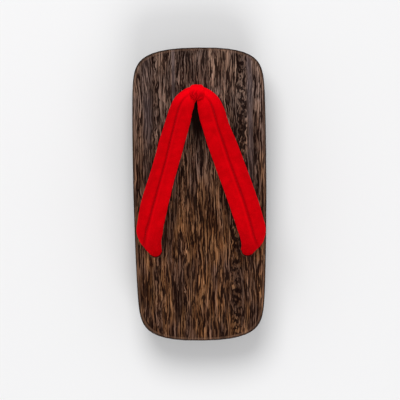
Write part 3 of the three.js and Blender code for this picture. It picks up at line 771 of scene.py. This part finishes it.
def red_velveteen():
    """Cotton velveteen, woven with weft loops that are cut into a short dense pile: deep red face
    on, pinker at a grazing angle, and mottled where the nap was brushed different ways."""
    material, tree = new_material("red_cotton_velveteen")
    place = add(tree, "ShaderNodeTexCoord").outputs["Object"]
    place = add(tree, "ShaderNodeVectorMath", {0: place, "Scale": 1 / MM}, operation="SCALE")
    nap = add(tree, "ShaderNodeTexNoise", {"Vector": place, "Scale": 1 / nap_size, "Detail": 3.0,
                                           "Roughness": 0.6})
    # the pile is about 0.15 mm across, drawn coarser so that it shows
    pile = add(tree, "ShaderNodeTexNoise", {"Vector": place, "Scale": 1 / pile_size, "Detail": 4.0,
                                            "Roughness": 0.7})
    ramp = add(tree, "ShaderNodeValToRGB", {0: nap})
    ramp.color_ramp.elements[0].position = 0.32
    ramp.color_ramp.elements[0].color = linear("#b80007")
    ramp.color_ramp.elements[1].position = 0.70
    ramp.color_ramp.elements[1].color = linear("#cf000a")
    # around the toe loop the red is brightened: a painted highlight on the front of the loop
    ahead = add(tree, "ShaderNodeSeparateXYZ", {0: place})
    ahead = add(tree, "ShaderNodeMapRange", {0: ahead.outputs["Y"], 1: toe_loop_highlight_span[0],
                                             2: toe_loop_highlight_span[1], 3: 0.0, 4: 0.95},
                interpolation_type="SMOOTHSTEP")
    fresh = add(tree, "ShaderNodeMix", {0: ahead, 6: ramp, 7: linear("#ff0010")}, data_type="RGBA")
    shade = add(tree, "ShaderNodeMapRange", {0: pile, 1: 0.3, 2: 0.7, 3: 0.80, 4: 1.16})
    surface = add(tree, "ShaderNodeMix", {0: 1.0, 6: fresh.outputs[2], 7: shade},
                  data_type="RGBA", blend_type="MULTIPLY").outputs[2]
    # the ridge beside the seam gets a painted highlight, the seam's groove and the toe loop's folds get
    # painted shade, and the lining is duller
    for attribute, amount, colour in (("ridge_highlight", 0.35, "#f4000e"), ("seam", 0.62, "#780006"),
                                      ("lining", 1.0, "#8d0a10")):
        here = add(tree, "ShaderNodeAttribute", attribute_name=attribute).outputs["Fac"]
        here = add(tree, "ShaderNodeMath", {0: here, 1: amount}, operation="MULTIPLY")
        surface = add(tree, "ShaderNodeMix", {0: here, 6: surface, 7: linear(colour)},
                      data_type="RGBA").outputs[2]
    bump = add(tree, "ShaderNodeBump", {"Height": pile, "Strength": 0.35, "Distance": 0.15 * MM})
    shader = add(tree, "ShaderNodeBsdfPrincipled", {
        "Base Color": surface, "Roughness": 0.95, "Specular IOR Level": 0.02,
        "Sheen Weight": 1.0, "Sheen Roughness": 0.5, "Sheen Tint": linear("#ff0018"),
        "Normal": bump})
    add(tree, "ShaderNodeOutputMaterial", {"Surface": shader.outputs["BSDF"]})
    return material


velveteen = red_velveteen()
strap_cloth, seam_line = strap_mesh()
strap = new_piece("velveteen_strap", strap_cloth)
strap.data.materials.append(velveteen)
shade_smooth(strap.data)
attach(strap, "root")
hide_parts("thong_strap")

# cotton thread is twisted tight, so it is smoother than the cloth and has a faint gloss
thread, thread_tree = new_material("red_cotton_thread")
thread_shader = add(thread_tree, "ShaderNodeBsdfPrincipled", {
    "Base Color": linear("#a3000c"), "Roughness": 0.7, "Specular IOR Level": 0.2})
add(thread_tree, "ShaderNodeOutputMaterial", {"Surface": thread_shader.outputs["BSDF"]})

sewing, ends = geometry_tree("running_stitch", ["Pitch", "Length", "Thread"])
path = add(sewing, "GeometryNodeMeshToCurve", {0: ends.outputs["Geometry"]})
spaced = add(sewing, "GeometryNodeResampleCurve", {"Curve": path,
                                                   "Length": ends.outputs["Pitch"]}, mode="LENGTH")
ahead = add(sewing, "GeometryNodeInputTangent")
facing = add(sewing, "FunctionNodeAlignRotationToVector", {"Vector": ahead}, axis="Z")
half_long = add(sewing, "ShaderNodeMath", {0: ends.outputs["Length"], 1: 0.5}, operation="MULTIPLY")
thread_radius = add(sewing, "ShaderNodeMath", {0: ends.outputs["Thread"], 1: 0.5}, operation="MULTIPLY")
bead = add(sewing, "GeometryNodeMeshUVSphere", {"Segments": 8, "Rings": 6, "Radius": 1.0})
bead_size = add(sewing, "ShaderNodeCombineXYZ", {"X": thread_radius, "Y": thread_radius,
                                                 "Z": half_long})
stitch = add(sewing, "GeometryNodeTransform", {"Geometry": bead, "Scale": bead_size})
placed = add(sewing, "GeometryNodeInstanceOnPoints", {
    "Points": spaced, "Instance": stitch, "Rotation": facing})
end_tree(sewing, placed, thread)
seam_path = bpy.data.meshes.new("seam_path")
# no stitch crosses the crotch, where the next point of the seam is far off
seam_path.from_pydata([tuple(p * MM) for p in seam_line],
                      [(i, i + 1) for i in range(len(seam_line) - 1)
                       if np.linalg.norm(seam_line[i + 1] - seam_line[i]) < 3 * ring_step], [])
stitches = grown("seam_stitches", seam_path, sewing, {
    "Pitch": stitch_pitch * MM, "Length": stitch_length * MM, "Thread": thread_diameter * MM})
shade_smooth(stitches.data)
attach(stitches, "root")
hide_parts("thong_strap")

# Toe loop
# A padded cord in a sleeve of the same velveteen. It stands in the front hole, and its top wraps
# over the strap and down through the crotch, where the cloth is gathered into small folds.
loop_grain = 0.38                       # mm, the size of the cells it is made of
crotch = (front_shift - 0.8, 79.5)      # mm, where its top dives between the strap's two halves
cap_starts, cap_full = 14.0, 19.0       # mm above the board, where the stem turns into the cap
fold_count, fold_depth, fold_sunk = 11, 0.65, 0.35      # mm, the gathers around the crotch
fold_ring, fold_spread = 3.5, 4.2       # mm from the crotch where they are deepest, and to each side
pleat_count_below, pleat_depth = 8, 0.22                # mm, the pleats around the stem
swell, slow_swell, quick_swell = 0.15, 0.3, 0.25        # mm, how the wadding fills it
slow_size, quick_size = 7.0, 3.2        # mm, how long and how short its swellings are
side_tuck, tuck_zone = 1.35, (3.6, 6.6)                 # mm down, and mm from its middle
tuck_fades = (86.5, 90.0)               # mm along the shoe, where the tuck ends
crotch_shade_fades = (83.5, 89.5)             # and where the painted shade over the loop's rear, behind the crotch, ends
cap_shift, cap_narrowing, cap_left = 0.2, 0.10, -6.9    # mm left, and narrower towards its left edge
cap_pull, cap_front = 0.45, (86.0, 92.0)                # mm back, over mm along the shoe


def largest_shell(mesh):
    """Leaves only the largest closed form of a mesh, without the crumbs that remeshing makes."""
    work = bmesh.new()
    work.from_mesh(mesh)
    waiting = set(work.verts)
    shells = []
    while waiting:
        shell, reached = set(), [waiting.pop()]
        while reached:
            point = reached.pop()
            shell.add(point)
            fresh = [e.other_vert(point) for e in point.link_edges if e.other_vert(point) in waiting]
            waiting.difference_update(fresh)
            reached += fresh
        shells.append(shell)
    kept = max(shells, key=len)
    bmesh.ops.delete(work, geom=[v for v in work.verts if v not in kept], context="VERTS")
    work.to_mesh(mesh)
    work.free()


def even_mesh(node):
    """A CAD node's form built of small even cells, with its edges eased."""
    rough = bpy.data.meshes.new(node + "_rough")
    solid = node_copy(node)
    solid.to_mesh(rough)
    solid.free()
    source = new_piece(node + "_rough", rough)
    cells = source.modifiers.new("cells", "REMESH")
    cells.mode = "VOXEL"
    cells.voxel_size = loop_grain * MM
    ease = source.modifiers.new("ease", "SMOOTH")
    ease.factor, ease.iterations = 0.6, 10
    graph = bpy.context.evaluated_depsgraph_get()
    mesh = bpy.data.meshes.new_from_object(source.evaluated_get(graph), depsgraph=graph)
    bpy.data.objects.remove(source)
    largest_shell(mesh)
    return mesh


def point_rows(mesh, what):
    """A vertex property with three numbers, as rows."""
    rows = np.zeros(len(mesh.vertices) * 3)
    mesh.vertices.foreach_get(what, rows)
    return rows.reshape(-1, 3)


def toe_loop_mesh():
    """The toe loop's solid as a stuffed sleeve. Its seam value is painted shade, in its folds
    around the crotch and over the loop's rear behind it.
    """
    mesh = even_mesh("toe_loop")
    co = point_rows(mesh, "co") / MM
    normal = point_rows(mesh, "normal")
    x, y, z = co.T
    above = smooth(top_z + cap_starts, top_z + cap_full, z)
    wobble = np.array([noise.noise(Vector(p) / quick_size) for p in co])
    slow = np.array([noise.noise(Vector(p) / slow_size + Vector((5, 0, 0))) for p in co])
    fan = np.arctan2(x - crotch[0], y - crotch[1])
    gathered = hill(np.hypot(x - crotch[0], y - crotch[1]) - fold_ring, fold_spread) * above
    wave = np.cos(fan * fold_count + wobble * 3.5 + slow * 3)
    folds = (fold_depth * wave - fold_sunk) * gathered
    around = np.arctan2(y - front_y, x + 0.5)
    pleats = np.cos(around * pleat_count_below + z * 0.08 + wobble) * pleat_depth * (1 - above)
    sideways = np.abs(x - (front_shift + 1.2))
    tucked = smooth(*tuck_zone, sideways + 0.8 * slow) * above * smooth(0.2, 0.8, normal[:, 2])
    tucked *= 1 - smooth(*tuck_fades, y)
    grow = folds + pleats + wobble * quick_swell + slow * slow_swell + swell - side_tuck * tucked
    # painted shade in the folds' hollows and over the rear of the loop behind the crotch
    loop_fold_shade = ((0.6 - wave) * gathered * 0.8
              + 0.75 * (1 - smooth(*crotch_shade_fades, y + 1.2 * wobble)) * above)
    mesh.attributes.new("seam", "FLOAT", "POINT").data.foreach_set(
        "value", np.clip(loop_fold_shade, 0, 1).astype(np.float32))
    co += normal * grow[:, None]
    co[:, 0] -= (cap_narrowing * (co[:, 0] - cap_left) + cap_shift) * above
    co[:, 1] -= cap_pull * smooth(*cap_front, co[:, 1]) * above
    mesh.vertices.foreach_set("co", (co * MM).ravel())
    mesh.update()
    return mesh


loop = new_piece("toe_loop_sleeve", toe_loop_mesh())
loop.data.name = "toe_loop_sleeve"
loop.data.materials.clear()
loop.data.materials.append(velveteen)
shade_smooth(loop.data)
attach(loop, "root")
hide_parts("toe_loop")

# Cords
# The strap's inner cords, of three-ply hemp. Each comes down through its hole, takes two turns
# around itself against the board's underside and ends in two cut tails.
cord_diameter, lay_pitch = 4.4, 13.0        # mm, and mm for one turn of the plies
ply_radius = cord_diameter / 4.1
lay_radius = 1.15 * ply_radius              # the plies touch one another around the cord's middle
knot_radius, knot_turns = 4.3, 2
seat_gap = 0.3                              # mm, as between the solids
long_tail = (8, 1.9, 0.45)                  # its points, and mm out and down from each to the next
short_tail = (10, 1.75, 0.42)
tails_apart = 115                           # degrees
underside_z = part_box("board")[0].z / MM
hemp_mottle = 0.5                           # mm

# hemp fibres, combed and twisted dry, give a matt straw-coloured cord. Its fibres are about 0.1 mm
# across, and their mottle is drawn coarser so that it shows.
hemp, hemp_tree = new_material("twisted_hemp")
hemp_place = add(hemp_tree, "ShaderNodeTexCoord").outputs["Object"]
hemp_place = add(hemp_tree, "ShaderNodeVectorMath", {0: hemp_place, "Scale": 1 / MM}, operation="SCALE")
hemp_noise = add(hemp_tree, "ShaderNodeTexNoise", {"Vector": hemp_place, "Scale": 1 / hemp_mottle,
                                                   "Detail": 4.0})
hemp_ramp = add(hemp_tree, "ShaderNodeValToRGB", {0: hemp_noise})
hemp_ramp.color_ramp.elements[0].position = 0.3
hemp_ramp.color_ramp.elements[0].color = linear("#7f6845")
hemp_ramp.color_ramp.elements[1].position = 0.7
hemp_ramp.color_ramp.elements[1].color = linear("#c9b184")
hemp_bump = add(hemp_tree, "ShaderNodeBump", {"Height": hemp_noise, "Strength": 0.6,
                                              "Distance": 0.2 * MM})
hemp_shader = add(hemp_tree, "ShaderNodeBsdfPrincipled", {
    "Base Color": hemp_ramp, "Roughness": 0.85, "Sheen Weight": 0.15,
    "Normal": hemp_bump})
add(hemp_tree, "ShaderNodeOutputMaterial", {"Surface": hemp_shader.outputs["BSDF"]})

laying, ends = geometry_tree("laid_cord", ["Ply radius", "Lay radius", "Lay pitch", "Plies"])
lines = add(laying, "GeometryNodeMeshToCurve", {0: ends.outputs["Geometry"]})
even = add(laying, "GeometryNodeResampleCurve", {"Curve": lines, "Length": 0.55 * MM}, mode="LENGTH")
plies = add(laying, "GeometryNodeDuplicateElements", {
    "Geometry": even, "Amount": ends.outputs["Plies"]}, domain="SPLINE")
walked = add(laying, "GeometryNodeSplineParameter").outputs["Length"]
turns = add(laying, "ShaderNodeMath", {0: walked, 1: ends.outputs["Lay pitch"]}, operation="DIVIDE")
start = add(laying, "ShaderNodeMath", {0: plies.outputs["Duplicate Index"],
                                       1: ends.outputs["Plies"]}, operation="DIVIDE")
turned = add(laying, "ShaderNodeMath", {0: turns, 1: start}, operation="ADD")
angle = add(laying, "ShaderNodeMath", {0: turned, 1: 2 * math.pi}, operation="MULTIPLY")
sideways = add(laying, "GeometryNodeInputNormal")
ahead = add(laying, "GeometryNodeInputTangent")
radial = add(laying, "ShaderNodeVectorRotate", {"Vector": sideways, "Axis": ahead, "Angle": angle},
             rotation_type="AXIS_ANGLE")
lifted = add(laying, "ShaderNodeVectorMath", {0: radial,
                                              "Scale": ends.outputs["Lay radius"]}, operation="SCALE")
laid = add(laying, "GeometryNodeSetPosition", {"Geometry": plies.outputs["Geometry"], "Offset": lifted})
profile = add(laying, "GeometryNodeCurvePrimitiveCircle", {"Resolution": 8,
                                                           "Radius": ends.outputs["Ply radius"]})
rope = add(laying, "GeometryNodeCurveToMesh", {"Curve": laid,
                                               "Profile Curve": profile,
                                               "Fill Caps": True})
end_tree(laying, rope, hemp)


def knot_lines(hole, depth, tail_turn):
    """The two lines of a knot: the cord from the hole through its turns to one tail, and the short
    end that goes back through the turns to the other tail."""
    x, y = hole
    knot_top = underside_z - seat_gap - cord_diameter / 2
    points = [(x, y, top_z - depth - seat_gap - 0.1), (x, y, underside_z + 3)]
    first = math.radians(tail_turn)
    for i in range(20 * knot_turns + 1):
        share = i / (20 * knot_turns)
        angle = first + 2 * math.pi * knot_turns * share + math.pi / 2
        radius = knot_radius * min(1, share * 8 + 0.15)
        points.append((x + radius * math.cos(angle), y + radius * math.sin(angle),
                       knot_top - cord_diameter * 0.9 * share))
    end = points[-1]
    count, out, down = long_tail
    for k in range(1, count + 1):
        points.append((end[0] - out * k * math.cos(first), end[1] - out * k * math.sin(first),
                       end[2] - down * k))
    second = math.radians(tail_turn + tails_apart)
    count, out, down = short_tail
    short = [(x + (out * k - 1) * math.cos(second), y + (out * k - 1) * math.sin(second),
              knot_top - cord_diameter * 1.05 - down * k) for k in range(count)]
    return [points, short]


def line_mesh(name, lines):
    """A mesh of bare edges along some lines, given in mm."""
    mesh = bpy.data.meshes.new(name)
    points, edges = [], []
    for line in lines:
        edges += [(len(points) + i, len(points) + i + 1) for i in range(len(line) - 1)]
        points += [tuple(v * MM for v in p) for p in line]
    mesh.from_pydata(points, edges, [])
    return mesh


for node, hole, depth, tail_turn in [
    ("front_cord", (-0.5, front_y), 8.0, 35),
    ("left_cord", (rear_shift - rear_x, rear_y), 7.0, -20),
    ("right_cord", (rear_shift + rear_x, rear_y), 7.0, 85),
]:
    cord = grown("hemp_" + node, line_mesh(node, knot_lines(hole, depth, tail_turn)), laying, {
        "Ply radius": ply_radius * MM, "Lay radius": lay_radius * MM,
        "Lay pitch": lay_pitch * MM, "Plies": 3.0})
    shade_smooth(cord.data)
    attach(cord, "root")
    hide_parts(node)
